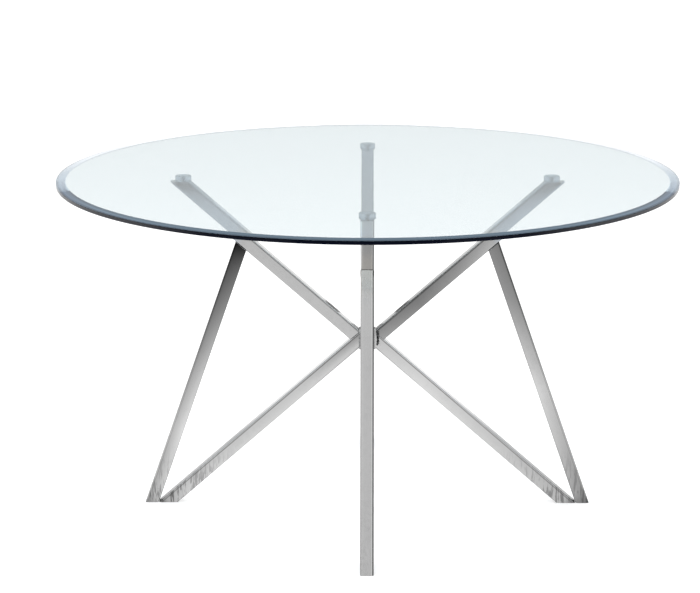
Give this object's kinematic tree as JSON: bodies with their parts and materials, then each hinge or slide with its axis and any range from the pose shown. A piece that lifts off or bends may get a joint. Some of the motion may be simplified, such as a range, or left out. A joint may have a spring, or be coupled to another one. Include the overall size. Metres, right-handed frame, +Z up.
{
  "type": "round glass dining table",
  "caption": "Round bevelled clear glass dining table lying on the pads of a crossed base of triangular polished square-tube frames.",
  "frame": {"origin": "on the floor, under the middle of the glass", "axes": "+Z up, +X along the right-hand frame, -Y towards the viewer's side, along the front frame"},
  "size_m": [1.372, 1.372, 0.757],
  "materials": {
    "clear_glass": "polished clear glass, bevelled rim, dark blue-green seen edge-on",
    "polished_steel": "mirror-polished stainless square tube with faint smudges",
    "clear_pad": "clear, slightly cloudy moulded plastic",
    "foot_plastic": "grey moulded plastic",
    "plated_fixing": "bright zinc plate"
  },
  "bodies": {
    "base": {"hub_post": "polished_steel", "hub_top_cap": "polished_steel", "hub_bottom_cap": "polished_steel", "upper_arm_right": "polished_steel", "lower_arm_right": "polished_steel", "strut_right": "polished_steel", "end_plate_right": "polished_steel", "top_plate_right": "polished_steel", "arm_foot_plug_right": "foot_plastic", "strut_foot_plug_right": "foot_plastic", "glass_pad_right": "clear_pad", "pad_screw_right": "plated_fixing", "hub_bolt_upper_right": "plated_fixing", "hub_bolt_lower_right": "plated_fixing", "upper_arm_back": "polished_steel", "lower_arm_back": "polished_steel", "strut_back": "polished_steel", "end_plate_back": "polished_steel", "top_plate_back": "polished_steel", "arm_foot_plug_back": "foot_plastic", "strut_foot_plug_back": "foot_plastic", "glass_pad_back": "clear_pad", "pad_screw_back": "plated_fixing", "hub_bolt_upper_back": "plated_fixing", "hub_bolt_lower_back": "plated_fixing", "upper_arm_left": "polished_steel", "lower_arm_left": "polished_steel", "strut_left": "polished_steel", "end_plate_left": "polished_steel", "top_plate_left": "polished_steel", "arm_foot_plug_left": "foot_plastic", "strut_foot_plug_left": "foot_plastic", "glass_pad_left": "clear_pad", "pad_screw_left": "plated_fixing", "hub_bolt_upper_left": "plated_fixing", "hub_bolt_lower_left": "plated_fixing", "upper_arm_front": "polished_steel", "lower_arm_front": "polished_steel", "strut_front": "polished_steel", "end_plate_front": "polished_steel", "top_plate_front": "polished_steel", "arm_foot_plug_front": "foot_plastic", "strut_foot_plug_front": "foot_plastic", "glass_pad_front": "clear_pad", "pad_screw_front": "plated_fixing", "hub_bolt_upper_front": "plated_fixing", "hub_bolt_lower_front": "plated_fixing"},
    "glass": {"glass_top": "clear_glass"}
  },
  "joints": [
    {"name": "glass_lift", "type": "slide", "parent": "base", "child": "glass", "axis": [0, 0, 1], "range_m": [0, 0.1]}
  ]
}
